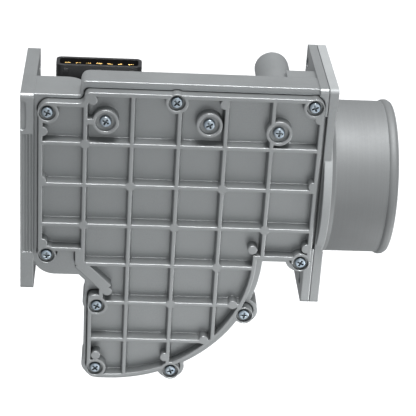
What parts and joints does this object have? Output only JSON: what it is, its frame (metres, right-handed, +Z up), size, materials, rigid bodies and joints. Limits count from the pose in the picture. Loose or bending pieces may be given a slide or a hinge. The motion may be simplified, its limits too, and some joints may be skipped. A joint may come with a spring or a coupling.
{
  "type": "combustion air flow meter",
  "caption": "Vane-type air flow meter of cast aluminium with a ribbed base cover, hose neck, connector socket and a sprung vane on a shaft.",
  "frame": {"origin": "centre of the inlet bolt pattern on the inlet flange's outer face", "axes": "+X downstream towards the hose neck, +Y away from the ribbed base cover, +Z up towards the connector's mouth"},
  "size_m": [0.179, 0.0889, 0.1624],
  "materials": {
    "cast_aluminium": "satin",
    "cast_cover": "satin",
    "turned_neck": "satin",
    "zinc_screw": "satin",
    "steel": "satin",
    "vane_cast": "satin",
    "bronze": "satin",
    "pin_gold": "satin",
    "black_plastic": "matte",
    "white_plastic": "satin",
    "ceramic": "satin",
    "seal_rubber": "matte",
    "gasket_paper": "matte"
  },
  "bodies": {
    "body": {"housing": "cast_aluminium", "base_cover": "cast_cover", "cover_gasket": "gasket_paper", "cover_screws": "zinc_screw", "web_screws": "zinc_screw", "outlet_adapter": "turned_neck", "outlet_gasket": "gasket_paper", "outlet_screws": "zinc_screw", "vane_bumper": "seal_rubber", "front_bush": "bronze", "rear_bush": "bronze", "spring_wheel": "white_plastic", "return_spring": "steel", "wheel_lock": "steel", "wheel_lock_screw": "zinc_screw", "track_board": "ceramic", "board_screws": "zinc_screw", "contact_leads": "pin_gold", "air_temp_sensor": "white_plastic", "electronics_cover": "black_plastic", "electronics_seal": "seal_rubber", "connector_shell": "black_plastic", "connector_seal": "seal_rubber", "connector_pins": "pin_gold", "pump_switch_base": "black_plastic", "pump_contacts": "pin_gold"},
    "vane_group": {"vane": "vane_cast", "vane_shaft": "steel", "shaft_clip": "steel", "wiper_hub": "white_plastic", "wiper_arm": "steel", "wiper_contact": "pin_gold", "counterweight": "bronze"},
    "bypass_group": {"bypass_screw": "steel", "bypass_seal": "seal_rubber"}
  },
  "joints": [
    {"name": "vane_hinge", "type": "hinge", "parent": "body", "child": "vane_group", "pos_m": [0.044, 0, -0.0295], "axis": [0, 1, 0], "range_deg": [0, 82], "stiffness_Nm_per_rad": 0.02, "springref_deg": -68.75},
    {"name": "bypass_slide", "type": "slide", "parent": "body", "child": "bypass_group", "axis": [0, 1, 0], "range_m": [0, 0.005]}
  ]
}
